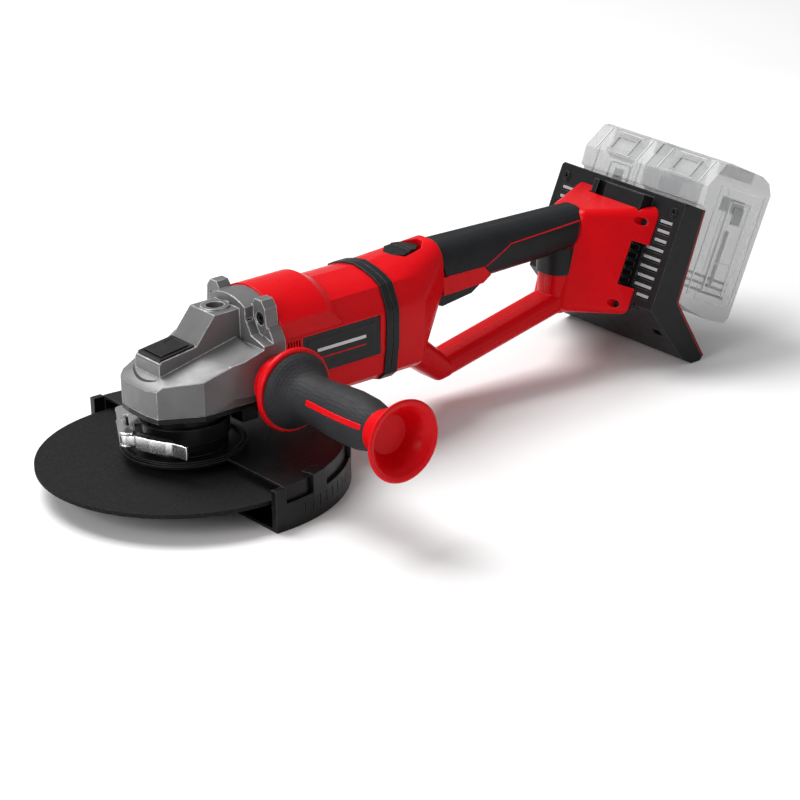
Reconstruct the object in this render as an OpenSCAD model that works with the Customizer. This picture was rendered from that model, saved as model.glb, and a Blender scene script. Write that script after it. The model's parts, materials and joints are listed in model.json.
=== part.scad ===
// Cordless 230 mm angle grinder with a D-handle and a twin battery mount.
// Lengths are in millimetres. +X runs from the disc to the batteries, +Z is up.
// Sub-parts are drawn about the spindle: its axis is x = 0, y = 0, and z = 0 is the top of the disc.

/* [Cutting disc] */
// Radius of the cutting disc
disc_r = 115; // [105:1:115]
// Thickness of the cutting disc
disc_t = 3; // [2:0.5:4]

/* [Gear head] */
// Half width of the gear case
head_hw = 42; // [41:0.5:44]
// Height of the gear case's lower rim above the disc
head_z = 45; // [44:0.5:46]
// Half width of the ridge that carries the lock button
ridge_hw = 16; // [15:0.5:18]
// Height of the threaded boss on top of the gear case
ridge_top = 110; // [108:1:114]
// Radius of the collar that joins the motor
collar_r = 50; // [49:0.5:52]

/* [Motor] */
// Height of the motor axis above the disc
motor_z = 68; // [67:0.5:69]
// Rear end of the motor housing
motor_end = 163; // [162:0.5:164]

/* [Guard] */
// Outer radius of the guard's skirt
guard_r = 121; // [120:0.5:122]
// Height of the guard's top plate above the disc
guard_top = 10; // [9:0.5:11]
// Depth of the tool's lowest point below the top of the disc
floor_drop = 23; // [22:0.5:24]

/* [Side handle] */
// Distance of the side handle's axis behind the spindle
side_x = 53; // [52:0.5:54]
// Height of the side handle's axis
side_z = 58; // [57:0.5:60]
// Reach of the side handle from the tool's middle plane
side_reach = 203; // [195:1:210]

/* [Rear handle] */
// Half width of the rubber grip
grip_hw = 20; // [19:0.5:21]
// Thickness of the grip's rubber
rubber_t = 2; // [1.5:0.5:2.5]

/* [Battery mount] */
// Lean of the battery plate from the vertical, in degrees
plate_lean = 25; // [24:1:26]
// Half width of the battery plate
plate_hw = 76; // [75:0.5:78]
// Width of one battery pack
pack_w = 74; // [72:0.5:74]

/* [Hidden] */
$fn = 64;

silver = "#9a9a98";
steel = "#c8c8c8";
black = "#151515";
charcoal = "#303236";
red = "#cf1018";
ghost = "#d4d6d8";

mid_x = 211;
mid_y = (guard_r + 3 - side_reach) / 2;
running = 0.05;
free_gap = 0.3;
spindle_seat_r = 8.5;
spindle_top_r = 6;
thread_r = 7;
crown_r = 35;
rotor_r = 22;
stator_r = 36;
swivel_r = 36;
swivel_gap = 0.8;
band_w = 5.6;
shell_x = motor_end + 2 * band_w + swivel_gap;
wall = 3.5;
plate_x = 441.5;
plate_z = 116;
foot_z = -floor_drop;
nut_top = -disc_t;
band_z0 = 20;
band_z1 = 32;
neck_r = 30;
hinge_x = -50;
hinge_y = 2;
link_turn = 60.6;
link_len = 44.8;
pin_reach = 13.4;

// ---- helpers ----

// Moves everything so that the origin is under the middle of the tool, on the floor.
module place() {
    translate([-mid_x, -mid_y, floor_drop]) children();
}

// Extrudes an outline drawn in (y, z) from x0 to x1.
module along_x(x0, x1) {
    translate([x0, 0, 0]) rotate([90, 0, 90]) linear_extrude(x1 - x0) children();
}

// Extrudes an outline drawn in (x, z) to both sides of the middle plane.
module across(half) {
    translate([0, half, 0]) rotate([90, 0, 0]) linear_extrude(2 * half) children();
}

module x_cyl(x0, x1, r, y = 0, z = motor_z) {
    translate([x0, y, z]) rotate([0, 90, 0]) cylinder(h = x1 - x0, r = r);
}

module y_cyl(y0, y1, r, x, z) {
    translate([x, y0, z]) rotate([-90, 0, 0]) cylinder(h = y1 - y0, r = r);
}

module z_cyl(z0, z1, r, x = 0, y = 0) {
    translate([x, y, z0]) cylinder(h = z1 - z0, r = r);
}

module z_tube(z0, z1, r_out, r_in, x = 0, y = 0) {
    difference() {
        z_cyl(z0, z1, r_out, x, y);
        z_cyl(z0 - 1, z1 + 1, r_in, x, y);
    }
}

module x_tube(x0, x1, r_out, r_in) {
    difference() {
        x_cyl(x0, x1, r_out);
        x_cyl(x0 - 1, x1 + 1, r_in);
    }
}

module both_sides() {
    children();
    mirror([0, 1, 0]) children();
}

module block(x0, x1, y0, y1, z0, z1) {
    translate([x0, y0, z0]) cube([x1 - x0, y1 - y0, z1 - z0]);
}

// A ball bearing standing on z = 0, with a shield step on both faces.
module bearing(r_out, r_in, h) {
    step = 0.6;
    mid = (r_out + r_in) / 2;
    half = (r_out - r_in) / 4;
    difference() {
        cylinder(h = h, r = r_out);
        translate([0, 0, -1]) cylinder(h = h + 2, r = r_in);
        for (z = [-1, h - step]) {
            translate([0, 0, z]) difference() {
                cylinder(h = 1 + step, r = mid + half);
                translate([0, 0, -1]) cylinder(h = 4, r = mid - half);
            }
        }
    }
}

// One side of the motor housing's section as (y, height above the motor axis), from top to bottom.
motor_half = [
    [13, 41.5], [24, 38.5], [32, 34.5], [36, 26], [39, 19], [40, 13], [39.5, 2], [38.5, -15],
    [37, -20], [36, -26], [34.5, -36], [28, -41.5], [18, -44]
];

// The motor's cross-section; grow moves its outline out or in by about that much.
module motor_section(grow = 0) {
    k = 1 + grow / 40;
    last = len(motor_half) - 1;
    right = [for (p = motor_half) [p[0] * k, motor_z + p[1] * k]];
    left = [for (i = [last:-1:0]) [-motor_half[i][0] * k, motor_z + motor_half[i][1] * k]];
    polygon(concat([[0, motor_z + 43.5 * k]], right, left));
}

// A bar with round edges that spans the points given in (x, z).
module bar(points, half, r) {
    hull() {
        for (p = points) {
            for (s = [-1, 1]) {
                translate([p[0], s * (half - r), p[1]]) sphere(r, $fn = 24);
            }
        }
    }
}

// The battery plate's own frame: x runs rearward through it and z runs up along it.
module on_plate() {
    translate([plate_x, 0, plate_z]) rotate([0, plate_lean, 0]) children();
}

module socket_screw(length, head_r, shank_r) {
    head_h = head_r;
    difference() {
        union() {
            translate([0, 0, -head_h]) cylinder(h = head_h, r = head_r);
            cylinder(h = length, r = shank_r);
        }
        translate([0, 0, -head_h - 1]) cylinder(h = head_h * 0.6 + 1, r = head_r * 0.5, $fn = 6);
    }
}

// ---- gear head ----

module head_plan() {
    front = -41;
    polygon([
        [front, -12], [front + 2, -24], [-9, -head_hw], [40, -head_hw],
        [40, head_hw], [-9, head_hw], [front + 2, 24], [front, 12]
    ]);
}

// The lower part of the case, with its sloping shoulders.
module head_block() {
    roof_z = 87.5;
    difference() {
        intersection() {
            translate([0, 0, head_z]) linear_extrude(60) head_plan();
            translate([15, 0, roof_z]) rotate([0, -12, 0]) along_x(-90, 60)
                polygon([[-60, -15], [0, 0], [60, -15], [60, -90], [-60, -90]]);
        }
        translate([-41, -60, 65.5]) rotate([0, -36, 0]) translate([-40, 0, 0]) cube([100, 120, 60]);
    }
}

module head_ridge() {
    across(ridge_hw) polygon([
        [-30, 50], [-30, 82], [-27.5, 85.5], [4, 89.5],
        [21.5, ridge_top], [45, ridge_top], [45, 50]
    ]);
}

// The blocks that carry the side handle's sockets.
module head_sides() {
    intersection() {
        translate([0, 0, 50]) linear_extrude(40)
            polygon([[16, -42], [26, -46], [64, -46], [64, 46], [26, 46], [16, 42]]);
        across(50) polygon([[10, 52], [10, 76], [44, 85], [70, 85], [70, 52]]);
    }
}

module head_collar() {
    difference() {
        intersection() {
            x_cyl(44, 64, collar_r);
            block(40, 70, -46, 46, 0, 140);
        }
        both_sides() along_x(43, 53) polygon([[23, 130], [23, 104], [30, 92], [60, 84], [60, 130]]);
        both_sides() block(45, 50, 10, 24, 87.5, 103);
    }
}

// The upper collar screws sit in lugs, the lower ones inside the collar, in (y, z).
screw_places = [[31, 104], [27, 36]];

module at_screws() {
    for (s = [-1, 1]) {
        for (p = screw_places) {
            translate([0, s * p[0], p[1]]) children();
        }
    }
}

module upper_lugs() {
    both_sides() along_x(52, 63) polygon([
        [20, 104], [21.5, 114], [25, 118.6], [33, 118.6], [37.5, 113], [39, 98], [34, 91], [25, 93]
    ]);
}

module gear_case() color(silver) place() difference() {
    union() {
        head_block();
        head_ridge();
        head_sides();
        head_collar();
        upper_lugs();
        z_cyl(ridge_top - 1, ridge_top + 1.5, 11, 33);
    }
    z_cyl(head_z - 1, 62, crown_r + 1);
    x_cyl(12, 50, 12.5);
    x_cyl(44, 61, 16);
    x_cyl(60.5, 66, 38);
    z_cyl(61, 76, 10);
    z_cyl(70, 81, 5, -18);
    z_cyl(61, 71, 2.6, -18);
    block(-28.3, 3.3, -14.8, 14.8, 82, 96);
    block(-25.3, 0.3, -12, 12, 80, 96);
    z_cyl(ridge_top - 14, ridge_top + 3, thread_r, 33);
    both_sides() y_cyl(30, 47, thread_r, side_x, side_z);
    at_screws() {
        x_cyl(38, 57, 5.2, 0, 0);
        x_cyl(38, 66, 2.5, 0, 0);
    }
}

module lock_button_frame() color(black) place() difference() {
    across(14.5) polygon([[-28, 82], [-28, 86.8], [3, 90.8], [3, 82]]);
    block(-25.3, 0.3, -12, 12, 80, 96);
}

module bearing_flange() color(black) place() difference() {
    union() {
        translate([0, 0, head_z - 4]) linear_extrude(4) head_plan();
        z_cyl(16, head_z - 3, neck_r);
        both_sides() difference() {
            block(30, 44, 12, 34, 27, head_z);
            z_cyl(20, band_z1 + 1, neck_r + 5.2);
        }
    }
    z_cyl(30, head_z + 1, 20);
    z_cyl(15, 31, 10.5);
    flange_screw_places() z_cyl(head_z - 5, head_z + 1, 2, 0, 0);
    flange_screw_places() z_cyl(head_z - 5, head_z - 1.5, 4, 0, 0);
}

module flange_screw_places() {
    for (p = [[-31, -22], [-31, 22], [34, -37.5], [34, 37.5]]) {
        translate([p[0], p[1], 0]) children();
    }
}

module flange_screws() color(steel) place() flange_screw_places()
    translate([0, 0, head_z - 1.5]) difference() {
        union() {
            translate([0, 0, -2.4]) cylinder(h = 2.4, r = 3.9);
            cylinder(h = 1.5, r = 2);
        }
        translate([0, 0, -3]) cylinder(h = 2, r = 1.6, $fn = 6);
    }

module gear_case_screws() color(black) place() at_screws()
    translate([57, 0, 0]) rotate([0, 90, 0]) socket_screw(15, 4.6, 2.5);

module spindle_bearing() color(steel) place()
    translate([0, 0, 30]) bearing(20, spindle_seat_r + running, 12);

module spindle_bush() color(steel) place() z_tube(64, 74, 10, spindle_top_r + running);

module rotor_bearing_front() color(steel) place()
    translate([44, 0, motor_z]) rotate([0, 90, 0]) bearing(16, 6 + running, 10);

module rotor_bearing_rear() color(steel) place()
    translate([140, 0, motor_z]) rotate([0, 90, 0]) bearing(11, 4 + running, 7);

// ---- spindle and disc ----

module spindle() color(steel) place() union() {
    z_cyl(-16, 1, thread_r);
    z_cyl(1, 30, 9);
    z_cyl(29, 46, spindle_seat_r);
    z_cyl(45, 60, 8);
    z_cyl(59, 75, spindle_top_r);
}

module crown_gear() color(steel) place() {
    teeth = 36;
    difference() {
        union() {
            z_cyl(48, 56, crown_r);
            for (i = [0:teeth - 1]) {
                rotate(i * 360 / teeth) translate([23, 0, 55]) rotate([90, 0, 90]) linear_extrude(11.5)
                    polygon([[-2, 0], [-0.6, 5.4], [0.6, 5.4], [2, 0]]);
            }
            z_cyl(55, 58, 13);
        }
        z_cyl(47, 60, 8);
        z_tube(54, 60, 21.5, 14);
    }
}

module disc_flange() color(steel) place() difference() {
    union() {
        z_cyl(0, 6, 21);
        z_cyl(-disc_t + 0.5, 1, 11);
    }
    z_cyl(-disc_t - 1, 1, thread_r);
    z_cyl(1, 7, 9);
    z_tube(-0.01, 1, 16, 11.5);
}

module cutting_disc() color("#3a3a3c") place() difference() {
    z_cyl(-disc_t, 0, disc_r);
    z_cyl(-disc_t - 1, 1, 11);
}

module quick_nut_core() color("#4a4b4e") place() difference() {
    union() {
        z_cyl(nut_top - 10, nut_top, 13);
        z_cyl(nut_top - 3, nut_top, 20);
    }
    z_cyl(nut_top - 11, nut_top + 1, thread_r + running);
    for (a = [0, 180]) {
        rotate(a) z_cyl(nut_top - 11, nut_top - 7, 1.8, 10.4);
    }
}

module quick_nut_ring() color("#3c3d40") place() difference() {
    union() {
        z_cyl(nut_top - 9, nut_top - 3 - free_gap, 29.5);
        for (i = [0:35]) {
            rotate(i * 10) z_cyl(nut_top - 8.5, nut_top - 4.5, 0.9, 29.4);
        }
    }
    z_cyl(nut_top - 10, nut_top - 1, 13 + running);
    for (a = [35, 215]) {
        rotate(a) z_cyl(nut_top - 10, nut_top - 6, 2.4, 21.5);
    }
}

// ---- motor ----

module rotor_shaft() color(steel) place() union() {
    x_cyl(16, 24, 4);
    x_cyl(23, 60, 6);
    x_cyl(59, 136, 7);
    x_cyl(135, 149, 4);
}

module pinion() color(steel) place() {
    teeth = 10;
    difference() {
        union() {
            x_cyl(24, 36, 6.6);
            for (i = [0:teeth - 1]) {
                translate([24, 0, motor_z]) rotate([i * 360 / teeth + 18, 0, 0]) rotate([90, 0, 90])
                    linear_extrude(12) polygon([[-1.5, 6], [-0.6, 8.4], [0.6, 8.4], [1.5, 6]]);
            }
        }
        x_cyl(20, 40, 6);
    }
}

module rotor_core() color("#6b6d70") place() difference() {
    x_cyl(78, 122, rotor_r);
    x_cyl(77, 123, 7);
    for (i = [0:5]) {
        translate([0, 0, motor_z]) rotate([i * 60, 0, 0]) translate([0, 0, -motor_z]) x_cyl(77, 123, 2, 13);
    }
}

module cooling_fan() color(black) place() {
    blades = 13;
    difference() {
        union() {
            x_cyl(69, 71, 33);
            x_cyl(65, 76, 12);
            for (i = [0:blades - 1]) {
                translate([65.5, 0, motor_z]) rotate([i * 360 / blades, 0, 0]) translate([0, 11, -1])
                    cube([4, 20, 2]);
            }
        }
        x_cyl(60, 80, 7);
    }
}

module stator() color("#7a5a3a") place() {
    slots = 9;
    difference() {
        x_cyl(82, 118, stator_r);
        x_cyl(81, 119, rotor_r + 0.7);
        for (i = [0:slots - 1]) {
            translate([0, 0, motor_z]) rotate([i * 360 / slots, 0, 0]) translate([81, -1.6, 22])
                cube([38, 3.2, 9]);
        }
    }
}

// The housing's larger front end, which blends into the gear case's collar.
module housing_front() {
    front_r = 51.5;
    intersection() {
        union() {
            x_cyl(64, 109, front_r);
            translate([109, 0, motor_z]) rotate([0, 90, 0]) cylinder(h = 10, r1 = front_r, r2 = front_r - 6);
        }
        block(60, 125, -41, 41, 86, 140);
    }
}

module housing_tube() {
    difference() {
        union() {
            along_x(64, motor_end) motor_section();
            housing_front();
        }
        along_x(63, 82) motor_section(-wall);
        x_cyl(81, 119, stator_r);
        along_x(86, 114) motor_section(-wall);
        along_x(118, 138) motor_section(-wall);
        x_cyl(138, 149, 11);
        for (i = [0:5]) {
            translate([0, 0, motor_z]) rotate([i * 60, 0, 0]) x_cyl(137, 150, 8, 25, 0);
        }
        along_x(148, motor_end + 1) motor_section(-wall);
        x_cyl(148, motor_end + 1, swivel_r + running);
        both_sides() block(84, 158, 37.9, 50, 50.4, 82.6);
        for (i = [0:4]) {
            both_sides() block(70 + i * 2.6, 71.4 + i * 2.6, 30, 60, 57, 82);
        }
    }
}

module motor_housing() color(red) place() difference() {
    union() {
        housing_tube();
        intersection() {
            at_screws() x_cyl(64, 74, 5.5, 0, 0);
            union() {
                along_x(60, 80) motor_section();
                housing_front();
            }
        }
    }
    at_screws() x_cyl(60, 72.5, 2.5, 0, 0);
}

module side_badges() color(charcoal) place() both_sides() difference() {
    union() {
        block(84.3, 157.7, 37.9, 38.9, 50.7, 82.3);
        block(89, 153, 38.8, 39.3, 55, 78);
    }
    block(91, 151, 39.1, 40, 57, 76);
}

// ---- swivel joint between the motor and the rear handle ----

module swivel_ring() color("#8b8d90") place() {
    x_tube(150, 180, swivel_r, swivel_r - 3.5);
    x_tube(178.4, 180, swivel_r + 1.4, swivel_r - 1);
    intersection() {
        x_tube(150, 153, 60, swivel_r - 1);
        along_x(149, 154) motor_section(-wall);
    }
}

module band(x0, x1, r_in) {
    difference() {
        along_x(x0, x1) motor_section(1.5);
        x_cyl(x0 - 1, x1 + 1, r_in);
    }
}

module swivel_band_front() color(charcoal) place()
    band(motor_end, motor_end + band_w, swivel_r + running);

module swivel_band_rear() color(charcoal) place()
    band(shell_x - band_w, shell_x, swivel_r + 0.1);

// ---- spindle lock ----

module lock_button() color(black) place() difference() {
    union() {
        across(11.4) polygon([[-24.7, 84], [-24.7, 88.2], [-0.4, 91.3], [-0.4, 84]]);
        z_cyl(80.5, 85, 4.4, -18);
    }
    translate([-3.5, 0, 92.5]) rotate([0, -7, 0]) translate([0, 0, -2]) cylinder(h = 4, r = 9);
    z_cyl(80, 84, 2.5, -18);
}

module lock_pin() color(steel) place() z_cyl(63, 84, 2.5, -18);

module lock_spring() color(steel) place() z_tube(71, 80.3, 4.4, 2.9, -18);

// ---- guard ----

guard_in = guard_r - 2.5;
cover_z = -floor_drop;

// Half of the plane behind the spindle, as a block to cut the guard with.
module rear_half(x0) {
    block(x0, 140, -140, 140, -60, 60);
}

module guard_hood() color(black) place() difference() {
    union() {
        intersection() {
            z_tube(guard_top - 2, guard_top, guard_r, neck_r + running);
            rear_half(4);
        }
        intersection() {
            z_tube(cover_z + 2.5, guard_top, guard_r, guard_in);
            rear_half(4);
        }
        z_tube(guard_top - 2, guard_top, 50, neck_r + running);
        z_tube(guard_top - 2, band_z1, neck_r + 2.5, neck_r + running);
        z_tube(guard_top - 1, guard_top + 2, 47, 43);
    }
    block(-60, -20, -2, 2, guard_top + 1, 50);
}

// A band round the guard's neck that the toggle lever draws tight.
module guard_clamp_band() color(black) place() difference() {
    z_tube(band_z0, band_z1, neck_r + 4.5, neck_r + 2.5);
    rotate(135) block(20, 60, -1.5, 1.5, band_z0 - 1, band_z1 + 1);
}

// Plan of the clamp's link, from the lever's pin to the band's far end.
module link_plan() {
    circle(6);
    translate([link_len, 0]) circle(6);
    translate([-2, -5.9]) square([link_len + 4, 11.8]);
}

// The band's double link with its two pins, standing off the band on an arm.
module clamp_bracket() color(steel) place() difference() {
    translate([hinge_x, hinge_y, 0]) rotate(link_turn) {
        translate([0, 0, band_z0]) linear_extrude(2) link_plan();
        translate([0, 0, band_z1 - 2]) linear_extrude(2) difference() {
            link_plan();
            translate([9, -2.5]) square([22, 5]);
        }
        z_cyl(band_z0 + 1, band_z1 - 1, 2.5);
        z_cyl(band_z0 + 1, band_z1 - 1, 5, link_len);
        block(14, 30, -13, -3, band_z0, band_z1);
    }
    z_cyl(band_z0 - 1, band_z1 + 1, neck_r + 4.5);
}

// The lever, drawn along +x from its pin, with its outer side towards -y.
module clamp_lever() color(steel) place() translate([hinge_x, hinge_y, 0]) rotate(-68) difference() {
    union() {
        z_cyl(band_z0 + 2.3, band_z1 - 2.3, 5.6);
        block(1, 11, -4.6, 1.4, band_z0 + 2.3, band_z1 - 2.3);
        translate([0, 0, band_z0 + 0.5]) linear_extrude(10.5) polygon([
            [8.5, -4], [11, -5.6], [24, -6.4], [38, -5.6], [43, -4.4], [57, -6.4], [57, -4.2],
            [44, -1.6], [41, 0.6], [24, 1.6], [8.5, 1.6]
        ]);
    }
    z_cyl(band_z0, band_z1, 2.5 + running);
}

// The clip-on cover that closes the guard's underside for cutting.
module cutting_cover() color("#1b1b1d") place() {
    in_r = guard_r + 0.3;
    out_r = guard_r + 3;
    difference() {
        union() {
            intersection() {
                z_tube(cover_z, cover_z + 2.2, out_r, 40);
                rear_half(-6);
            }
            intersection() {
                z_tube(cover_z, -2, out_r, in_r);
                rear_half(-6);
            }
            for (a = [-72, -38, -6, 30, 66]) {
                rotate(a) {
                    block(in_r, out_r + 0.4, -8, 8, -4, guard_top + 2.4);
                    block(guard_r - 8, out_r, -7, 7, guard_top + 0.2, guard_top + 2.4);
                }
            }
            block(-6, 3.6, -out_r, -guard_in, cover_z, guard_top);
            block(-6, 3.6, guard_in, out_r, cover_z, guard_top);
        }
        for (a = [-80:4:80]) {
            rotate(a) block(out_r - 1, out_r + 2, -0.6, 0.6, -15, -6);
        }
    }
}

// ---- side handle, drawn along +z from the gear case outwards ----

module on_side_axis() {
    translate([side_x, -46, side_z]) rotate([90, 0, 0]) children();
}

side_len = side_reach - 46;

module side_handle_stud() color(steel) place() on_side_axis() union() {
    translate([0, 0, -15]) cylinder(h = 60, r = thread_r - 0.1);
    translate([0, 0, 40]) cylinder(h = 10, r = 8.5, $fn = 6);
}

module side_handle_core() color(red) place() on_side_axis() difference() {
    rotate_extrude() polygon([
        [0, 0.4], [19.5, 0.4], [21, 2], [20.5, 5.5], [17.5, 9], [16.5, 14], [27, 19], [31.5, 20],
        [32.5, 21.5], [32.5, 24], [31.5, 25.5], [29, 25.5], [12, 26], [11, 60], [11, side_len - 26], [0, side_len - 26]
    ]);
    translate([0, 0, -1]) cylinder(h = 46, r = thread_r - 0.1);
    translate([0, 0, 40]) cylinder(h = 10, r = 8.5, $fn = 6);
}

grip_profile = [
    [29.5, 25.6], [29.6, 27], [27.5, 31], [23, 36], [19.8, 41], [18, 47], [18.2, 60],
    [20, 80], [20.8, 95], [20, 112], [17.5, 124], [16, 129]
];

module side_handle_grip() color(charcoal) place() on_side_axis() difference() {
    rotate_extrude() polygon(concat([[12.05, 26.05]], grip_profile, [[11.05, 129], [11.05, 60]]));
    side_inlay_shape(0.4);
}

// A slim pointed inlay let into the grip's outer side.
module side_inlay_shape(grow) {
    rotate(-20) translate([-30, -2.2 - grow / 2, 62 - grow]) cube([19, 4.4 + grow, 64 + 2 * grow]);
}

module side_handle_inlay() color(red) place() on_side_axis() intersection() {
    rotate_extrude() polygon(concat([[14, 26.05]], grip_profile, [[14, 129], [14, 60]]));
    rotate(-20) translate([-30, -2.2, 62]) cube([16.5, 4.4, 64]);
}

module side_handle_cup() color(red) place() on_side_axis() rotate_extrude() polygon([
    [0, side_len - 25.9], [11.1, side_len - 25.9], [11.1, side_len - 27.9], [16.5, side_len - 27.9],
    [18, side_len - 24], [20.5, side_len - 16],
    [24.5, side_len - 8], [29, side_len - 4], [31, side_len - 2.5], [31.5, side_len - 1], [30, side_len],
    [27, side_len - 0.6], [22.5, side_len - 5], [18, side_len - 13], [15, side_len - 19], [0, side_len - 20]
]);

// ---- rear handle ----

grip_line = [[242, 97.5], [242, 90], [384, 93.5], [384, 92]];

// Four posts at the corners of a rectangle drawn in (y, z), for a hull to join.
module posts(half, z0, z1, r) {
    for (s = [-1, 1]) {
        for (z = [z0 + r, z1 - r]) {
            translate([s * (half - r), z]) circle(r, $fn = 32);
        }
    }
}

module grip_outer() {
    bar(grip_line, grip_hw, 17);
}

module grip_inner() {
    bar(grip_line, grip_hw - rubber_t, 17 - rubber_t);
}

// The outer form of the handle: neck, D-shaped loop, grip core and battery box.
module handle_form() {
    hull() {
        along_x(shell_x, 201) motor_section();
        along_x(234, 235) posts(21, 68, 117, 16);
    }
    bar([[200, 58], [211, 40], [222, 66], [216, 92], [200, 92]], 17, 8.3);
    bar([[202, 34], [211, 38], [243, 8], [237, 7]], 16.5, 8.3);
    bar([[242, 8], [364, 34]], 16, 8.3);
    grip_inner();
    bar([[366, 34], [369, 80]], 16, 12);
    battery_box();
    trigger_housing();
}

// The box that widens from the back of the grip to the battery plate.
module battery_box() {
    hull() {
        bar_balls([[387, 101], [366, 34]], 22, 8);
        on_plate() along_x(-1, 0) posts(51, -102, -11, 8);
    }
}

module trigger_housing() {
    across(19.6) polygon([[236, 73], [236, 88], [278, 86.8], [284, 79], [276, 74]]);
}

module bar_balls(points, half, r) {
    for (p = points) {
        for (s = [-1, 1]) {
            translate([p[0], s * (half - r), p[1]]) sphere(r, $fn = 24);
        }
    }
}

// Where the screws stand that hold the two shells together, in (x, z).
shell_screws = [[206, 96], [206, 62], [368, 54], [238, 10]];
// Where the screws stand that hold the battery box to the plate, in (y, u).
box_screws = [[44, -25], [43, -95]];

module handle_hollow() {
    x_cyl(170, 179, swivel_r + 0.1);
    x_cyl(178.2, 198, swivel_r + 1.9);
    block(178, 200, -13, 13, 60, 104);
    block(199, 227, -13, 13, 70, 104);
    block(226, 402, -12, 12, 86, 106);
    block(231.5, 326, -9.8, 9.8, 58, 93);
    block(231.5, 277, -17.4, 17.4, 58, 84);
    x_cyl(210, 240, 5.3, 0, 50);
    on_plate() {
        block(-10, 1, -38, 38, -92, -18);
        block(-20, -9, -31, 31, -88, -22);
        block(-30, -19, -25, 25, -80, -26);
        block(-13.3, 2, -40.3, 22.3, -18.3, 4);
        both_sides() block(-13, 1, 38.5, 60, -79, -42);
        for (s = [-1, 1]) {
            for (p = box_screws) {
                x_cyl(-40, -4, 3.3, s * p[0], p[1]);
                x_cyl(-5, 1, 1.8, s * p[0], p[1]);
            }
        }
    }
    translate([0, 0, 107]) linear_extrude(20) pod_plan(0.4, 4.3);
    block(205.7, 216.5, -5.4, 5.4, 100, 110);
    y_cyl(-pin_reach, pin_reach, 2.5, 316, 84);
    for (p = shell_screws) {
        y_cyl(9, 60, 3.6, p[0], p[1]);
        y_cyl(-12, 12, 1.7, p[0], p[1]);
    }
}

module handle_body() {
    difference() {
        handle_form();
        handle_hollow();
    }
}

module handle_shell_left() color(red) place() intersection() {
    handle_body();
    block(100, 500, -100, 0, -50, 200);
}

module handle_shell_right() color(red) place() intersection() {
    handle_body();
    block(100, 500, 0, 100, -50, 200);
}

module handle_screws() color(black) place() {
    for (p = shell_screws) {
        translate([p[0], 9, p[1]]) rotate([90, 0, 0]) socket_screw(20, 3.4, 1.7);
    }
    on_plate() for (s = [-1, 1]) {
        for (p = box_screws) {
            translate([-4, s * p[0], p[1]]) rotate([0, 90, 0]) socket_screw(12, 3.1, 1.8);
        }
    }
}

// The rubber covers the grip above a line that dips towards the front.
module grip_rubber() color(charcoal) place() intersection() {
    difference() {
        grip_outer();
        grip_inner();
        battery_box();
        trigger_housing();
    }
    across(30) polygon([
        [235.2, 130], [235.2, 104], [239, 88.6], [278, 87.4], [305, 100.5], [391, 102.5], [391, 130]
    ]);
    block(235.2, 385, -30, 30, 60, 130);
}

// The dark lower panels of the grip, with the collar round the top of the loop's rear post.
module grip_panels() color("#232527") place() difference() {
    union() {
        intersection() {
            grip_outer();
            across(30) polygon([[285, 76], [280, 86.6], [305.5, 99.6], [378, 101.4], [366, 60], [284, 60]]);
        }
        intersection() {
            bar([[366, 34], [369, 80]], 17.6, 13.6);
            block(345, 378, -30, 30, 58, 80);
        }
    }
    block(230, 326, -9.8, 9.8, 50, 93);
    grip_inner();
    bar([[366, 34], [369, 80]], 16, 12);
    battery_box();
    trigger_housing();
}

module switch_module() color(black) place() union() {
    block(262, 302, -9, 9, 95, 105);
    block(266, 270, -3, 3, 94, 96);
}

module controller() color("#1d5a34") place() on_plate() union() {
    block(-18, -16, -30, 30, -86, -24);
    block(-16, -11, -22, 22, -60, -30);
    both_sides() x_cyl(-16, -11.5, 5, 18, -74);
}

module battery_leads() color("#8a1c1c") place() both_sides() x_cyl(302, 400, 1.8, 5, 99);

module vent_louvres() color(black) place() on_plate() both_sides() difference() {
    block(-12.5, -0.3, 38.6, 44, -78.6, -42.4);
    for (i = [0:4]) {
        block(-14, -3, 40.5, 46, -76.5 + i * 7, -72.5 + i * 7);
    }
}

// ---- battery mount ----

module plate_outline() {
    polygon([
        [plate_x, plate_z], [403, 33.5], [438, -17.5], [447, foot_z], [456.5, foot_z], [459, -20.5],
        [431, 33.4], [plate_x + 19.2, plate_z - 9.9]
    ]);
}

module battery_plate() color(charcoal) place() difference() {
    union() {
        intersection() {
            across(plate_hw) plate_outline();
            along_x(380, 480) rounded_plate(3.5);
        }
        on_plate() block(-12, 2, -39, 21, -17, -4);
    }
    on_plate() {
        both_sides() for (i = [0:8]) {
            block(-1, 34, i > 2 && i < 8 ? 47 : 53, 68, -22 - i * 7.75, -17.5 - i * 7.75);
        }
        plate_screw_places() x_cyl(-2, 30, 2, 0, 0);
        plate_screw_places() x_cyl(-2, 3, 4, 0, 0);
        for (s = [-1, 1]) {
            for (p = box_screws) {
                x_cyl(-2, 10, 1.8, s * p[0], p[1]);
            }
        }
        translate([0, 14, 0]) rotate([0, 0, 35]) block(-16, 0.5, 0, 8, -20, 0);
        translate([-12, 0, -4]) rotate([0, -30, 0]) block(-12, 10, -45, 30, 0, 20);
    }
    both_sides() block(400, 460, 58, 68, 4, 10);
}

module rounded_plate(r) {
    z1 = plate_z;
    union() {
        translate([-plate_hw + r, foot_z]) square([2 * (plate_hw - r), z1 - foot_z]);
        translate([-plate_hw, foot_z]) square([2 * plate_hw, z1 - foot_z - r]);
        for (s = [-1, 1]) {
            translate([s * (plate_hw - r), z1 - r]) circle(r);
        }
    }
}

module plate_screw_places() {
    for (p = [[-66, -10], [66, -10], [-56, -90.5], [56, -90.5]]) {
        translate([0, p[0], p[1]]) children();
    }
}

module plate_screws() color(steel) place() on_plate() plate_screw_places()
    translate([3, 0, 0]) rotate([0, 90, 0]) socket_screw(14, 3.8, 2);

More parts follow.
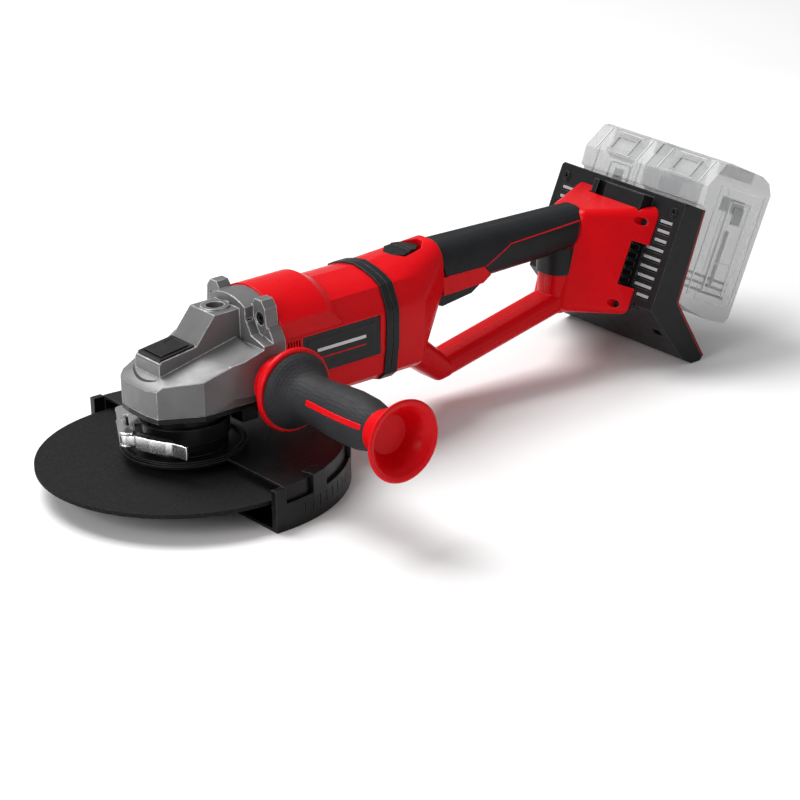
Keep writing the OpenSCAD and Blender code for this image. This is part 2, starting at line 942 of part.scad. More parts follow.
// A coloured band along the plate's rear edge, down both sides and over the top.
module plate_trim() color(red) place() difference() {
    intersection() {
        across(plate_hw) polygon([
            [plate_x + 19.2, plate_z - 9.9], [431, 33.4], [459, -20.5], [460.6, -19.2], [433, 33.2],
            [plate_x + 20.8, plate_z - 10.7]
        ]);
        along_x(380, 480) rounded_plate(3.5);
    }
    across(plate_hw - 5) polygon([[440, 112.4], [470, 98.8], [480, -40], [400, -40], [400, 40]]);
}

module pack_rails() color(black) place() difference() {
    on_plate() both_sides() difference() {
        block(20, 29.6, pack_w / 2 + 1 - 22, pack_w / 2 + 1 + 22, -74, -10);
        for (y = [-12, 0, 12]) {
            block(28, 32, pack_w / 2 + y, pack_w / 2 + y + 2, -68, -14);
        }
    }
    across(plate_hw) plate_outline();
}

module pack_outline() {
    polygon([
        [28.2, -78], [23.8, 0], [23.8, 1.5], [19.5, 2.5], [18.5, 19], [31, 39.5], [36, 41.5],
        [76, 39], [86, 35], [92, 26], [90, -80], [86, -85], [70, -86], [38, -81]
    ]);
}

module on_latch() {
    translate([24.2, 0, 28.2]) rotate([0, 31.4, 0]) children();
}

// The right-hand pack; the left one is its mirror image.
module pack_solid() {
    mid = 1 + pack_w / 2;
    on_plate() difference() {
        translate([0, 1, 0]) rotate([90, 0, 0]) mirror([0, 0, 1]) linear_extrude(pack_w) pack_outline();
        block(20, 30, mid - 22.5, mid + 22.5, -95, -9.5);
        translate([0, mid, 0]) on_latch() block(-8, 9, -13.4, 13.4, -9.4, 9.4);
        block(44, 82, pack_w, pack_w + 4, -72, 22);
        block(50, 76, pack_w + 0.2 - 2, pack_w + 4, -66, 14);
    }
}

module latch_solid() {
    mid = 1 + pack_w / 2;
    on_plate() translate([0, mid, 0]) on_latch() difference() {
        block(-0.8, 5, -13, 13, -9, 9);
        block(-2, 0.2, -10, 10, -6, 6);
    }
}

module pack_right() color(ghost) place() pack_solid();
module pack_left() color(ghost) place() mirror([0, 1, 0]) pack_solid();
module pack_latches_right() color("#bfc2c4") place() latch_solid();
module pack_latches_left() color("#bfc2c4") place() mirror([0, 1, 0]) latch_solid();

// ---- controls ----

// Plan of the pod-shaped swivel button, grown all round and stretched rearward.
module pod_plan(grow, stretch) {
    rear_hw = 11 + grow + 0.14 * stretch;
    polygon([
        [196 - grow, 4], [196 - grow, -4], [203, -13 - grow], [216 + stretch, -rear_hw],
        [224 + stretch + grow, -3], [224 + stretch + grow, 3], [216 + stretch, rear_hw], [203, 13 + grow]
    ]);
}

module swivel_button() color(black) place() difference() {
    union() {
        translate([0, 0, 107.3]) linear_extrude(8.2) pod_plan(0, 0);
        block(206, 212, -5, 5, 98, 108);
        block(181, 212, -5, 5, 98, 101.5);
    }
    translate([190, -20, 112.4]) rotate([0, -7, 0]) cube([19, 40, 10]);
    translate([212, -20, 115.5]) rotate([0, 6, 0]) cube([24, 40, 10]);
}

module trigger() color(black) place() difference() {
    union() {
        across(9.2) polygon([
            [233, 65], [236, 63.5], [266, 67.5], [274, 72.5], [306, 76.5], [318, 78.5],
            [322, 84], [318, 89], [268, 87], [248, 78], [236, 76]
        ]);
        across(16.9) polygon([[233, 65], [236, 63.5], [266, 67.5], [275, 73], [275, 78], [236, 76]]);
    }
    y_cyl(-20, 20, 2.5 + running, 316, 84);
    z_cyl(76, 90, 4.6, 254);
}

module trigger_pin() color(steel) place() y_cyl(-pin_reach, pin_reach, 2.5, 316, 84);

module trigger_spring() color(steel) place() z_tube(76.2, 92.8, 3.8, 2.8, 254);

module lock_off_button() color(black) place() union() {
    x_cyl(213.5, 229, 5, 0, 50);
    x_cyl(228, 231, 4, 0, 50);
}

gear_case();
lock_button_frame();
bearing_flange();
flange_screws();
spindle_bearing();
spindle_bush();
rotor_bearing_front();
rotor_bearing_rear();
gear_case_screws();
motor_housing();
side_badges();
stator();
swivel_ring();
swivel_band_front();
spindle();
crown_gear();
disc_flange();
cutting_disc();
quick_nut_core();
quick_nut_ring();
rotor_shaft();
pinion();
rotor_core();
cooling_fan();
lock_button();
lock_pin();
lock_spring();
guard_hood();
guard_clamp_band();
cutting_cover();
clamp_bracket();
clamp_lever();
side_handle_stud();
side_handle_core();
side_handle_grip();
side_handle_inlay();
side_handle_cup();
swivel_band_rear();
handle_shell_left();
handle_shell_right();
grip_rubber();
grip_panels();
handle_screws();
switch_module();
controller();
battery_leads();
vent_louvres();
battery_plate();
plate_trim();
plate_screws();
pack_rails();
swivel_button();
trigger();
trigger_pin();
trigger_spring();
lock_off_button();
pack_left();
pack_right();
pack_latches_left();
pack_latches_right();
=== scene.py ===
import json
import math

import bmesh
import bpy
from mathutils import Matrix, Vector
from mathutils.bvhtree import BVHTree

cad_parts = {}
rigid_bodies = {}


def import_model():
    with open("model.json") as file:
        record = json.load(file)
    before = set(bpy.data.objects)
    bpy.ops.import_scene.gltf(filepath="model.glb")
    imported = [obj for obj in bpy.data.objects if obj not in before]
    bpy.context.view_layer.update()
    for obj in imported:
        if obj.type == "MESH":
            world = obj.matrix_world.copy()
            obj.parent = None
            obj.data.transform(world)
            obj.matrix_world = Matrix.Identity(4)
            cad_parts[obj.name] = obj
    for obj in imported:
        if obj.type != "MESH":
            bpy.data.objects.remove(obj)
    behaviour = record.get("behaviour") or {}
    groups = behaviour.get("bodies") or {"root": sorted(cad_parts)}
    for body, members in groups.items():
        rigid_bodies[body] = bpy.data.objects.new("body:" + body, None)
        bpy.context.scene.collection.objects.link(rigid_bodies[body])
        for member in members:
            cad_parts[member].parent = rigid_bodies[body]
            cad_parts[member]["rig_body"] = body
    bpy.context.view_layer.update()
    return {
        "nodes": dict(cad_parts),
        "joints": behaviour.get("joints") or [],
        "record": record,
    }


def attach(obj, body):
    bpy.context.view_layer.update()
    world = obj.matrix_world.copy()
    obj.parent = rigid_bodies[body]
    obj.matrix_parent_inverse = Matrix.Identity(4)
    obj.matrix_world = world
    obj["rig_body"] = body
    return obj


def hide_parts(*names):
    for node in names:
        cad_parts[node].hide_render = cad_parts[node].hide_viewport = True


MM = 0.001

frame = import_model()
nodes = frame["nodes"]
joints = {joint["name"]: joint for joint in frame["joints"]}

# The spindle's axis, 20 mm above the disc's top face; drawing positions are given from that face.
SPINDLE = Vector(joints["spindle_spin"]["pos_m"])
SPINDLE_REF = 20
PLATE_LEAN = math.radians(25)
PLATE_X, PLATE_Z = 441.5, 116


def at(x, y, z):
    """A place in mm behind, right of and above the middle of the disc's top face."""
    return SPINDLE + Vector((x, y, z - SPINDLE_REF)) * MM


def on_plate(n, y, u):
    """A place in mm behind, right of and up along the battery plate's front face."""
    behind = Vector((math.cos(PLATE_LEAN), 0, -math.sin(PLATE_LEAN)))
    along = Vector((math.sin(PLATE_LEAN), 0, math.cos(PLATE_LEAN)))
    return at(PLATE_X, y, PLATE_Z) + (behind * n + along * u) * MM


# ---- material building ----

def start_material(name, colour, rough, metal=0.0, specular=0.5):
    """A new material with its shader's constant sockets set."""
    material = bpy.data.materials.new(name)
    material.use_nodes = True
    tree = material.node_tree
    shader = tree.nodes["Principled BSDF"]
    shader.inputs["Base Color"].default_value = (*colour, 1)
    shader.inputs["Roughness"].default_value = rough
    shader.inputs["Metallic"].default_value = metal
    shader.inputs["Specular IOR Level"].default_value = specular
    return material, tree, shader


def place_coords(tree):
    """The place in the object's own space, in metres."""
    return tree.nodes.new("ShaderNodeTexCoord").outputs["Object"]


def noise(tree, scale, detail=4.0, rough=0.55, stretch=None):
    """Noise in the object's own space; scale is in features per metre."""
    texture = tree.nodes.new("ShaderNodeTexNoise")
    texture.inputs["Scale"].default_value = scale
    texture.inputs["Detail"].default_value = detail
    texture.inputs["Roughness"].default_value = rough
    source = place_coords(tree)
    if stretch:
        mapping = tree.nodes.new("ShaderNodeMapping")
        mapping.inputs["Scale"].default_value = stretch
        tree.links.new(source, mapping.inputs["Vector"])
        source = mapping.outputs["Vector"]
    tree.links.new(source, texture.inputs["Vector"])
    return texture.outputs["Fac"]


def remap(tree, value, low, high, to_low, to_high):
    """Carries a value from one range to another and clamps it."""
    node = tree.nodes.new("ShaderNodeMapRange")
    node.inputs["From Min"].default_value = low
    node.inputs["From Max"].default_value = high
    node.inputs["To Min"].default_value = to_low
    node.inputs["To Max"].default_value = to_high
    tree.links.new(value, node.inputs["Value"])
    return node.outputs["Result"]


def combine(tree, operation, first, second):
    """A math node over two values; each is a number or another node's output."""
    node = tree.nodes.new("ShaderNodeMath")
    node.operation = operation
    for socket, value in zip(node.inputs, (first, second)):
        if isinstance(value, (int, float)):
            socket.default_value = value
        else:
            tree.links.new(value, socket)
    return node.outputs["Value"]


def blend_colours(tree, factor, first, second):
    """Mixes two colours; each is a tuple or another node's output."""
    node = tree.nodes.new("ShaderNodeMix")
    node.data_type = "RGBA"
    tree.links.new(factor, node.inputs["Factor"])
    for name, value in (("A", first), ("B", second)):
        socket = next(s for s in node.inputs if s.name == name and s.type == "RGBA")
        if isinstance(value, tuple):
            socket.default_value = (*value, 1)
        else:
            tree.links.new(value, socket)
    return next(s for s in node.outputs if s.type == "RGBA")


def rounded_normal(tree, radius):
    """A normal that rounds edges by that radius, in metres."""
    bevel = tree.nodes.new("ShaderNodeBevel")
    bevel.samples = 6
    bevel.inputs["Radius"].default_value = radius
    return bevel.outputs["Normal"]


def edge_mask(tree, radius):
    """1 along edges within the radius, 0 on open faces."""
    geometry = tree.nodes.new("ShaderNodeNewGeometry")
    dot = tree.nodes.new("ShaderNodeVectorMath")
    dot.operation = "DOT_PRODUCT"
    tree.links.new(rounded_normal(tree, radius), dot.inputs[0])
    tree.links.new(geometry.outputs["Normal"], dot.inputs[1])
    return remap(tree, dot.outputs["Value"], 0.99, 0.85, 0.0, 1.0)


def add_bump(tree, shader, height, depth, strength=1.0, edge=0.0):
    """Bump of that depth in metres, over edges rounded to the edge radius."""
    bump = tree.nodes.new("ShaderNodeBump")
    bump.inputs["Distance"].default_value = depth
    bump.inputs["Strength"].default_value = strength
    tree.links.new(height, bump.inputs["Height"])
    if edge:
        tree.links.new(rounded_normal(tree, edge), bump.inputs["Normal"])
    tree.links.new(bump.outputs["Normal"], shader.inputs["Normal"])


def vary(tree, shader, colour, worn, amount, rough, edge=0.0, painted_edge_highlight=None):
    """Mottled colour and roughness, with painted highlights along the edges."""
    mottle = remap(tree, noise(tree, 60), 0.3, 0.7, 0.0, amount)
    mixed = blend_colours(tree, mottle, colour, worn)
    if painted_edge_highlight:
        # Painted highlight: the edge colour, broken up by noise, lightens every rounded edge.
        highlight_breakup = remap(tree, noise(tree, 220, 6), 0.35, 0.6, 0.35, 1.0)
        mask = combine(tree, "MULTIPLY", edge_mask(tree, edge), highlight_breakup)
        mixed = blend_colours(tree, mask, mixed, painted_edge_highlight)
    tree.links.new(mixed, shader.inputs["Base Color"])
    spread = remap(tree, noise(tree, 140, 5), 0.3, 0.7, rough - 0.05, rough + 0.07)
    tree.links.new(spread, shader.inputs["Roughness"])


def plastic(name, colour, worn, rough, edge, painted_edge_highlight, grain=2600, depth=0.00005, specular=0.22):
    """Moulded plastic or paint: fine grain, mottled colour and painted highlights along the edges."""
    material, tree, shader = start_material(name, colour, rough, 0.0, specular)
    vary(tree, shader, colour, worn, 0.35, rough, edge, painted_edge_highlight)
    add_bump(tree, shader, noise(tree, grain, 3), depth, 0.5, edge)
    return material


def cast_metal():
    """The gear case's cast alloy, with painted highlights along its edges."""
    base, light = (0.135, 0.135, 0.137), (0.18, 0.18, 0.182)
    material, tree, shader = start_material("cast_alloy", base, 0.42, 0.35)
    # The light grey edge colour is a painted highlight along the case's edges.
    vary(tree, shader, base, light, 0.5, 0.4, 0.0014, (0.74, 0.74, 0.74))
    grit = combine(tree, "ADD", noise(tree, 1500, 3), noise(tree, 320, 2))
    add_bump(tree, shader, grit, 0.00012, 0.6, 0.0016)
    return material


def machined(name, colour, rough, metal=1.0, stretch=(1, 1, 30), edge=0.0006):
    """Ground or drawn metal, its noise stretched along the tool marks."""
    material, tree, shader = start_material(name, colour, rough, metal)
    marks = noise(tree, 300, 5, 0.6, stretch)
    lighter = tuple(min(1.0, c * 1.3) for c in colour)
    mottle = remap(tree, marks, 0.3, 0.7, 0.0, 1.0)
    tree.links.new(blend_colours(tree, mottle, colour, lighter), shader.inputs["Base Color"])
    spread = remap(tree, marks, 0.3, 0.7, rough - 0.04, rough + 0.08)
    tree.links.new(spread, shader.inputs["Roughness"])
    add_bump(tree, shader, marks, 0.00003, 0.5, edge)
    return material


def dotted_rubber(name, colour, pitch, depth, rough=0.58):
    """Soft grip with a fine field of raised dots."""
    material, tree, shader = start_material(name, colour, rough, 0.0, 0.2)
    vary(tree, shader, colour, tuple(c * 1.8 for c in colour), 0.5, rough)
    cells = tree.nodes.new("ShaderNodeTexVoronoi")
    cells.inputs["Scale"].default_value = 1 / pitch
    cells.inputs["Randomness"].default_value = 0.15
    tree.links.new(place_coords(tree), cells.inputs["Vector"])
    dots = remap(tree, cells.outputs["Distance"], 0.5, 0.2, 0.0, 1.0)
    add_bump(tree, shader, dots, depth, 0.7, 0.001)
    return material


def abrasive():
    """Bonded grit with the glass mesh just showing under it."""
    dark, mid = (0.004, 0.004, 0.0042), (0.017, 0.017, 0.0175)
    material, tree, shader = start_material("bonded_grit", dark, 0.6, 0.0, 0.1)
    grit = tree.nodes.new("ShaderNodeTexVoronoi")
    grit.inputs["Scale"].default_value = 900
    tree.links.new(place_coords(tree), grit.inputs["Vector"])
    speck = remap(tree, grit.outputs["Distance"], 0.1, 0.6, 0.0, 1.0)
    weave = []
    for axis in ("X", "Y"):
        wave = tree.nodes.new("ShaderNodeTexWave")
        wave.bands_direction = axis
        wave.inputs["Scale"].default_value = 95
        wave.inputs["Distortion"].default_value = 0.6
        tree.links.new(place_coords(tree), wave.inputs["Vector"])
        weave.append(wave.outputs["Fac"])
    mesh = combine(tree, "MULTIPLY", weave[0], weave[1])
    tone = combine(tree, "MULTIPLY", speck, remap(tree, mesh, 0.0, 1.0, 0.55, 1.0))
    tree.links.new(blend_colours(tree, tone, dark, mid), shader.inputs["Base Color"])
    spread = remap(tree, noise(tree, 400, 4), 0.3, 0.7, 0.62, 0.85)
    tree.links.new(spread, shader.inputs["Roughness"])
    height = combine(tree, "ADD", speck, combine(tree, "MULTIPLY", mesh, 0.6))
    add_bump(tree, shader, height, 0.0002, 0.6, 0.0008)
    return material


def ghost_plastic(name, colour, see_through):
    """Pale plastic that lets some of what is behind it show, with painted highlights along its edges.
    """
    material, tree, shader = start_material(name, colour, 0.4)
    lighter = tuple(min(1.0, c * 1.1) for c in colour)
    # The near-white edge colour is a painted highlight.
    vary(tree, shader, colour, lighter, 0.4, 0.4, 0.0015, (0.9, 0.9, 0.9))
    shader.inputs["Alpha"].default_value = 1 - see_through
    add_bump(tree, shader, noise(tree, 1800, 3), 0.00005, 0.5, 0.002)
    return material


RED = (0.63, 0.0011, 0.005)
BLACK, WORN_BLACK = (0.004, 0.004, 0.0045), (0.008, 0.008, 0.0085)
# In each plastic entry the last colour is a painted highlight laid along the edges.
materials = {
    "case_alloy": cast_metal(),
    "red_plastic": plastic("red_plastic", RED, (0.52, 0.0009, 0.004), 0.3, 0.0014, (0.85, 0.03, 0.035),
                           specular=0.12),
    "dark_red": plastic("dark_red", (0.2, 0.002, 0.006), (0.27, 0.003, 0.008), 0.4, 0.0004,
                        (0.4, 0.01, 0.015)),
    "black_plastic": plastic("black_plastic", BLACK, WORN_BLACK, 0.32, 0.0008, (0.06, 0.06, 0.06)),
    "panel_plastic": plastic("panel_plastic", (0.007, 0.0075, 0.0085), (0.013, 0.0135, 0.015), 0.4,
                             0.0012, (0.075, 0.075, 0.08), specular=0.2),
    "badge": plastic("badge_plate", (0.009, 0.0095, 0.011), (0.015, 0.015, 0.017), 0.38, 0.0006,
                     (0.07, 0.07, 0.07)),
    "soft_grip": dotted_rubber("grip_rubber", (0.009, 0.0095, 0.011), 0.0016, 0.00012),
    "handle_grip": dotted_rubber("handle_rubber", (0.017, 0.0175, 0.019), 0.0022, 0.00025),
    "blackened_steel": plastic("blackened_steel", BLACK, WORN_BLACK, 0.32, 0.0008, (0.09, 0.09, 0.09),
                               grain=700, depth=0.0001),
    "bright_steel": machined("bright_steel", (0.55, 0.55, 0.56), 0.3),
    "lever_chrome": machined("lever_chrome", (0.72, 0.72, 0.73), 0.14, stretch=(6, 6, 1), edge=0.0012),
    "abrasive": abrasive(),
    "laminations": machined("laminations", (0.2, 0.2, 0.21), 0.45, 0.9, (60, 1, 1)),
    "winding": machined("winding", (0.5, 0.2, 0.07), 0.35, 0.8, (1, 40, 40)),
    "circuit_board": plastic("circuit_board", (0.01, 0.10, 0.035), (0.015, 0.14, 0.05), 0.3, 0.0004,
                             (0.3, 0.3, 0.1)),
    "lead_sheath": plastic("lead_sheath", (0.25, 0.01, 0.01), (0.3, 0.015, 0.015), 0.4, 0.0004,
                           (0.4, 0.05, 0.05)),
    "pack_clear": ghost_plastic("pack_clear", (0.42, 0.425, 0.43), 0.5),
    "pack_rib": ghost_plastic("pack_rib", (0.78, 0.78, 0.79), 0.25),
    "pack_shade": ghost_plastic("pack_shade", (0.34, 0.345, 0.35), 0.35),
    "pale_insert": plastic("pale_insert", (0.27, 0.28, 0.29), (0.36, 0.36, 0.37), 0.4, 0.0004,
                           (0.6, 0.6, 0.6)),
    "badge_pale": plastic("badge_pale", (0.62, 0.62, 0.63), (0.72, 0.72, 0.72), 0.4, 0.0004,
                          (0.8, 0.8, 0.8)),
    # Painted shade: the near-black colour of the shoulder's groove line.
    "painted_groove_shade": plastic("painted_groove_shade", (0.03, 0.03, 0.03), (0.05, 0.05, 0.05), 0.6, 0.0004,
                         (0.1, 0.1, 0.1)),
}

slot_of = {row["node"]: row["material_slot"] for row in frame["record"]["subparts"]}
FINISH = {"side_handle_grip": "handle_grip", "plate_trim": "dark_red"}
for name, node in nodes.items():
    node.data.materials.clear()
    node.data.materials.append(materials[FINISH.get(name, slot_of[name])])


# ---- skins over CAD nodes ----

WELD_DISTANCE = 0.000005
FLAT_ANGLE = math.radians(0.4)


def smooth_skin(name, angle):
    """A copy of a CAD node with welded corners and smooth shading, shown in its place."""
    source = nodes[name]
    mesh = source.data.copy()
    mesh.name = name + "_skin"
    body = bmesh.new()
    body.from_mesh(mesh)
    bmesh.ops.remove_doubles(body, verts=body.verts, dist=WELD_DISTANCE)
    limit = math.radians(angle)
    bmesh.ops.dissolve_limit(body, angle_limit=FLAT_ANGLE, verts=body.verts, edges=body.edges)
    for edge in body.edges:
        edge.smooth = edge.is_manifold and edge.calc_face_angle() < limit
    for face in body.faces:
        face.smooth = True
    body.to_mesh(mesh)
    body.free()
    if mesh.attributes.get("custom_normal"):
        mesh.attributes.remove(mesh.attributes["custom_normal"])
    skin = bpy.data.objects.new(name + "_skin", mesh)
    bpy.context.scene.collection.objects.link(skin)
    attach(skin, source["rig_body"])
    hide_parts(name)
    return skin


SMOOTH = {
    "handle_shell_left": 24, "handle_shell_right": 24, "grip_rubber": 30, "grip_panels": 30,
    "motor_housing": 16, "side_handle_core": 30, "side_handle_grip": 30, "side_handle_cup": 30,
    "side_handle_inlay": 30, "gear_case": 30, "swivel_band_front": 30, "swivel_band_rear": 30,
}
for name, angle in SMOOTH.items():
    smooth_skin(name, angle)


# ---- small surface details ----

BLOCK_FACES = ((0, 1, 3, 2), (4, 6, 7, 5), (0, 4, 5, 1), (2, 3, 7, 6), (0, 2, 6, 4), (1, 5, 7, 3))


def add_block(mesh, place, xs, ys, zs):
    """A closed block between the given limits, its corners carried through place."""
    corners = [mesh.verts.new(place(x, y, z)) for x in xs for y in ys for z in zs]
    for face in BLOCK_FACES:
        mesh.faces.new([corners[i] for i in face])


def add_loft(mesh, rings):
    """A skin through rings of corners, capped at both ends."""
    loops = [[mesh.verts.new(corner) for corner in ring] for ring in rings]
    for first, second in zip(loops, loops[1:]):
        for i in range(len(first)):
            j = (i + 1) % len(first)
            mesh.faces.new((first[i], first[j], second[j], second[i]))
    mesh.faces.new(loops[0])
    mesh.faces.new(loops[-1])


def piece(name, mesh, body, finish, round_to=0.0):
    """Turns a finished bmesh into a piece that rides on a body."""
    bmesh.ops.recalc_face_normals(mesh, faces=mesh.faces)
    data = bpy.data.meshes.new(name)
    mesh.to_mesh(data)
    mesh.free()
    data.materials.append(materials[finish])
    made = bpy.data.objects.new(name, data)
    bpy.context.scene.collection.objects.link(made)
    if round_to:
        bevel = made.modifiers.new("rounding", "BEVEL")
        bevel.width = round_to
        bevel.segments = 2
        bevel.limit_method = "ANGLE"
    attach(made, body)
    return made


# The battery plate's slots: how many, how far apart, and where the bars in them start and end.
SLOTS, LONG_SLOTS, SLOT_PITCH = 9, range(3, 8), 7.75
BAR_TOP, BAR_HEIGHT, BAR_DEPTH = -18.3, 2.7, (0.5, 4.5)
BAR_OUTER, BAR_INNER, LONG_BAR_INNER = 67.6, 53.4, 47.4


def slot_bars(name, side):
    """The pale bars that stand in the battery plate's slots; some are longer."""
    mesh = bmesh.new()
    for i in range(SLOTS):
        inner = LONG_BAR_INNER if i in LONG_SLOTS else BAR_INNER
        top = BAR_TOP - SLOT_PITCH * i
        add_block(mesh, on_plate, BAR_DEPTH, (side * inner, side * BAR_OUTER), (top - BAR_HEIGHT, top))
    piece(name, mesh, "rear_handle", "pale_insert", 0.0005)


# The line where the grip's rubber meets its lower panels, in (x, z).
GRIP_LINE = ((241, 87.9), (279, 87.0), (305.3, 100.0), (382, 102.0))
# The corners of the grip's middle, in (x, z), and the radius and offset that round it.
GRIP_CORE = ((242, 97.5), (242, 90), (384, 92), (384, 93.5))
GRIP_ROUND, GRIP_OFFSET = 17, 3
# The stripe's corners: height from the line and depth under the grip's surface.
STRIPE_CORNERS = ((-0.5, -0.05), (0.5, -0.05), (0.5, 1.5), (-0.5, 1.5))
STRIPE_STEP = 2


def line_points(line, step):
    """Points along a bent line, about a step apart."""
    points = []
    for (x0, z0), (x1, z1) in zip(line, line[1:]):
        count = max(1, round(math.hypot(x1 - x0, z1 - z0) / step))
        points += [(x0 + (x1 - x0) * i / count, z0 + (z1 - z0) * i / count) for i in range(count)]
    return points + [line[-1]]


def grip_side(x, z):
    """Half width of the grip at that place, in mm."""
    (front, front_high), (_, front_low), (rear, rear_low), (_, rear_high) = GRIP_CORE
    share = (x - front) / (rear - front)
    low = front_low + share * (rear_low - front_low)
    high = front_high + share * (rear_high - front_high)
    away = max(low - z, z - high, 0)
    return GRIP_OFFSET + math.sqrt(max(1.0, GRIP_ROUND ** 2 - away ** 2))


def grip_stripe(name, side):
    """The thin coloured line between the grip's rubber and its panels."""
    mesh = bmesh.new()
    rings = []
    for x, z in line_points(GRIP_LINE, STRIPE_STEP):
        ring = []
        for dz, sink in STRIPE_CORNERS:
            y = side * (grip_side(x, z + dz) - sink)
            ring.append(at(x, y, z + dz))
        rings.append(ring)
    add_loft(mesh, rings)
    piece(name, mesh, "rear_handle", "red_plastic")


# The bars on the side badge: along the motor, out from its middle plane, and up from the disc.
MARK_LENGTH, MARK_DEPTH = (98, 144), (38.9, 39.25)
PALE_MARK, RED_MARK = (67.4, 70.0), (61.6, 62.8)


def badge_marks(name, side):
    """Plain bars in place of lettering on the side badge."""
    depth = [side * y for y in MARK_DEPTH]
    mesh = bmesh.new()
    add_block(mesh, at, MARK_LENGTH, depth, PALE_MARK)
    piece(name, mesh, "head", "badge_pale", 0.0001)
    mesh = bmesh.new()
    add_block(mesh, at, MARK_LENGTH, depth, RED_MARK)
    piece(name + "_line", mesh, "head", "red_plastic", 0.0001)


# The height that rays drop from, in mm, and the number of steps along the arc.
ABOVE_TOOL = 200
ARC_STEPS = 24


def drop_point(tree, x, y):
    """The highest point of a surface above a place in the plan, in metres."""
    return tree.ray_cast(at(x, y, ABOVE_TOOL), Vector((0, 0, -1)))[0]


def shoulder_arc(name, radius, first, last, half):
    """A thin near-black strip laid on the gear case's shoulder: painted shade where a shallow groove
    runs round its front.
    """
    case = nodes["gear_case"].data
    tree = BVHTree.FromPolygons([v.co for v in case.vertices], [p.vertices for p in case.polygons])
    mesh = bmesh.new()
    rings = []
    for step in range(ARC_STEPS + 1):
        turn = math.radians(first + (last - first) * step / ARC_STEPS)
        thin = half * math.sin(math.pi * (step + 1) / (ARC_STEPS + 2)) ** 0.5
        ring = []
        for sign, lift in ((-1, 0.12), (1, 0.12), (1, -0.6), (-1, -0.6)):
            r = radius + sign * thin
            hit = drop_point(tree, r * math.cos(turn), r * math.sin(turn))
            ring.append(hit + Vector((0, 0, lift * MM)))
        rings.append(ring)
    add_loft(mesh, rings)
    piece(name, mesh, "head", "painted_groove_shade")


# A battery pack's outer side and rim, out from the tool's middle plane; how far up the plate its
# top ribs reach; and how far behind the plate its grooves and its gauge start.
PACK_SIDE, PACK_RIM, PACK_TOP = 72.9, 74.0, 39.8
PACK_REAR, GAUGE_FACE = 89.2, 90.6
# The widths of the pack's upright, cross and top ribs, and of its grip grooves.
RIB, CROSS_RIB, TOP_RIB, GROOVE = 1.3, 1.2, 1.1, 2.4


def pack_block(mesh, side, place, xs, ys, zs):
    """A block on the pack of that side; ys are given for the right-hand pack."""
    add_block(mesh, place, xs, [side * y for y in ys], zs)


def pack_piece(name, label, mesh, finish, round_to):
    """A piece that belongs to one battery pack."""
    piece(name + "_" + label, mesh, "pack_" + label, finish, round_to)


def pack_ribs(side, label):
    """Raised ribs on the outer side, the rim and the top of a battery pack."""
    mesh = bmesh.new()
    for n in (50.5, 74.2):
        pack_block(mesh, side, on_plate, (n, n + RIB), (PACK_SIDE, PACK_SIDE + 1.5), (-64, 12))
    for u in (-64, -40, 11.5):
        pack_block(mesh, side, on_plate, (52, 74), (PACK_SIDE, PACK_RIM), (u, u + CROSS_RIB))
    for n in (33.5, 86):
        pack_block(mesh, side, on_plate, (n, n + RIB), (PACK_RIM, PACK_RIM + 1.4), (-70, 22))
    for y in (7, 17, 58, 68):
        pack_block(mesh, side, on_plate, (40, 72), (y, y + TOP_RIB), (30, PACK_TOP))
    pack_piece("pack_ribs", label, mesh, "pack_rib", 0.0003)


def pack_panel(side, label):
    """Two darker panels on the outer side of a battery pack."""
    mesh = bmesh.new()
    pack_block(mesh, side, on_plate, (58, 69), (PACK_SIDE + 0.1, PACK_SIDE + 1), (-6, 8))
    pack_block(mesh, side, on_plate, (56, 60), (PACK_SIDE + 0.1, PACK_SIDE + 0.8), (-60, -12))
    pack_piece("pack_panel", label, mesh, "pack_shade", 0.0004)


def pack_gauge(side, label):
    """A charge gauge and grip grooves on the rear of a battery pack."""
    mesh = bmesh.new()
    pack_block(mesh, side, on_plate, (GAUGE_FACE, GAUGE_FACE + 1.3), (25, 51), (2, 14))
    for u in (-68, -62, -56):
        pack_block(mesh, side, on_plate, (PACK_REAR, PACK_REAR + 1.5), (14, 62), (u, u + GROOVE))
    pack_piece("pack_gauge", label, mesh, "pack_shade", 0.0004)


def gauge_marks(side, label):
    """The three lamps and the button of the charge gauge."""
    mesh = bmesh.new()
    for y in (28.5, 33.5, 38.5):
        pack_block(mesh, side, on_plate, (91.5, 92.1), (y, y + 2.6), (6.5, 9.5))
    pack_block(mesh, side, on_plate, (91.5, 92.3), (44, 48.5), (5.5, 10.5))
    pack_piece("gauge_marks", label, mesh, "pack_rib", 0.0002)


# The sloping front of a pack from its lower to its upper edge, in (n, u) on the plate.
PACK_SLOPE = ((18.5, 19), (31, 39.5))


def pack_slope(share, y, lift):
    """A place on a pack's sloping front, lifted off it by that many mm."""
    (n0, u0), (n1, u1) = PACK_SLOPE
    length = math.hypot(n1 - n0, u1 - u0)
    n = n0 + (n1 - n0) * share - (u1 - u0) / length * lift
    u = u0 + (u1 - u0) * share + (n1 - n0) / length * lift
    return on_plate(n, y, u)


def slope_lines(side, label):
    """Raised lines that frame the latch on a pack's sloping front."""
    mesh = bmesh.new()
    height = (-0.5, 0.5)
    for y in (12, 62):
        pack_block(mesh, side, pack_slope, (0.02, 0.98), (y, y + 1.2), height)
    for share in (0.05, 0.92):
        pack_block(mesh, side, pack_slope, (share, share + 0.04), (22, 54), height)
    pack_piece("slope_lines", label, mesh, "pack_rib", 0.0002)


for side, label in ((-1, "left"), (1, "right")):
    slot_bars("slot_bars_" + label, side)
    grip_stripe("grip_stripe_" + label, side)
    badge_marks("badge_marks_" + label, side)
    pack_ribs(side, label)
    pack_panel(side, label)
    slope_lines(side, label)
    pack_gauge(side, label)
    gauge_marks(side, label)
shoulder_arc("shoulder_arc", radius=35.5, first=140, last=205, half=0.9)


# ---- studio ----

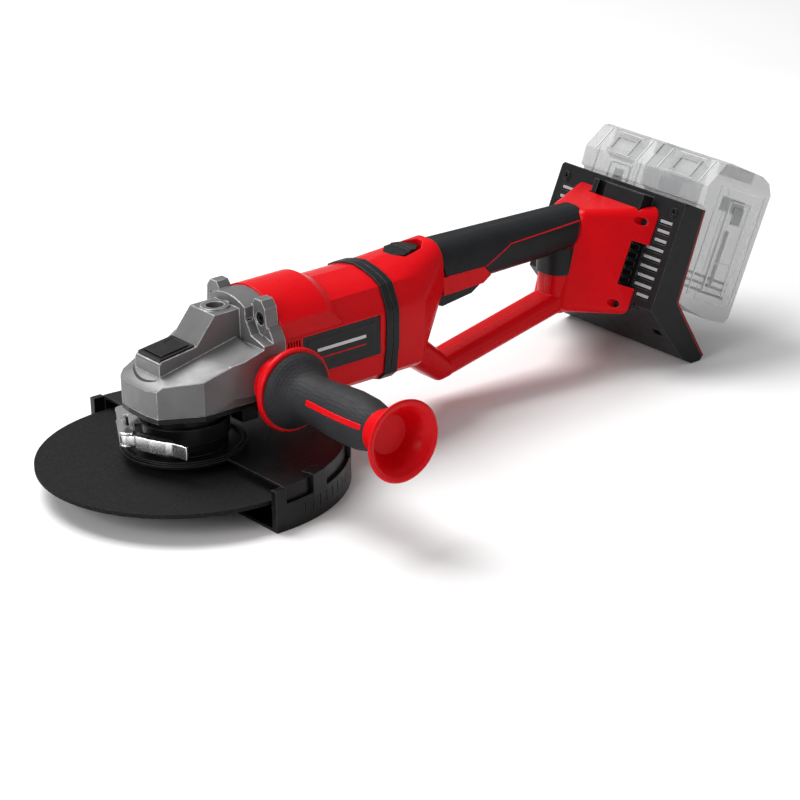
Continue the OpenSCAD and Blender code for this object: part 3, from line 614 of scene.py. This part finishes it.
def area_light(name, place, target, size, power):
    """A soft light at a place, turned towards its target."""
    data = bpy.data.lights.new(name, "AREA")
    data.energy = power
    data.size = size
    light = bpy.data.objects.new(name, data)
    light.location = place
    light.rotation_euler = (Vector(target) - Vector(place)).to_track_quat("-Z", "Y").to_euler()
    bpy.context.scene.collection.objects.link(light)


def pale_floor():
    """The floor that the tool stands on."""
    bpy.ops.mesh.primitive_plane_add(size=16, location=(0, 0, -0.0002))
    floor = bpy.context.object
    floor.name = "studio_floor"
    material, tree, shader = start_material("studio_floor", (0.86, 0.86, 0.86), 0.7)
    tone = remap(tree, noise(tree, 3), 0.3, 0.7, 0.0, 1.0)
    mottled = blend_colours(tree, tone, (0.85, 0.85, 0.85), (0.88, 0.88, 0.88))
    tree.links.new(mottled, shader.inputs["Base Color"])
    floor.data.materials.append(material)


def studio():
    """Floor, air light and three soft lights."""
    pale_floor()
    world = bpy.data.worlds.new("studio_air")
    world.use_nodes = True
    world.node_tree.nodes["Background"].inputs["Color"].default_value = (1, 1, 1, 1)
    world.node_tree.nodes["Background"].inputs["Strength"].default_value = 0.34
    bpy.context.scene.world = world
    bpy.context.scene.view_settings.view_transform = "Standard"
    area_light("overhead", (-0.35, 1.1, 2.1), (0, 0, 0), 1.5, 66)
    area_light("front_left", (-2.2, -0.2, 1.1), (0, 0, 0.05), 1.1, 24)
    area_light("front_right", (0.9, -2.3, 1.1), (0.1, 0, 0.05), 1.0, 4)


# ---- camera ----

CAMERA_TURN = math.radians(37.196)
CAMERA_RISE = math.radians(22.063)
CAMERA_ROLL = math.radians(-1.833)
CAMERA_DISTANCE = 2.42
CAMERA_LENS, SENSOR_WIDTH = 144, 36
LOOK_AT = Vector((-0.0735, -0.0484, 0.0554))


def camera():
    """The camera, placed by its turn, rise and roll about the point it looks at."""
    right = Vector((math.cos(CAMERA_TURN), -math.sin(CAMERA_TURN), 0))
    level = math.cos(CAMERA_RISE)
    back = Vector((-math.sin(CAMERA_TURN) * level, -math.cos(CAMERA_TURN) * level,
                   math.sin(CAMERA_RISE)))
    up = back.cross(right)
    rolled_right = right * math.cos(CAMERA_ROLL) + up * math.sin(CAMERA_ROLL)
    rolled_up = up * math.cos(CAMERA_ROLL) - right * math.sin(CAMERA_ROLL)
    turn = Matrix((rolled_right, rolled_up, back)).transposed().to_4x4()
    data = bpy.data.cameras.new("product_view")
    data.lens = CAMERA_LENS
    data.sensor_width = SENSOR_WIDTH
    data.clip_end = 50
    view = bpy.data.objects.new("product_view", data)
    view.matrix_world = Matrix.Translation(LOOK_AT + back * CAMERA_DISTANCE) @ turn
    bpy.context.scene.collection.objects.link(view)
    bpy.context.scene.camera = view


studio()
camera()
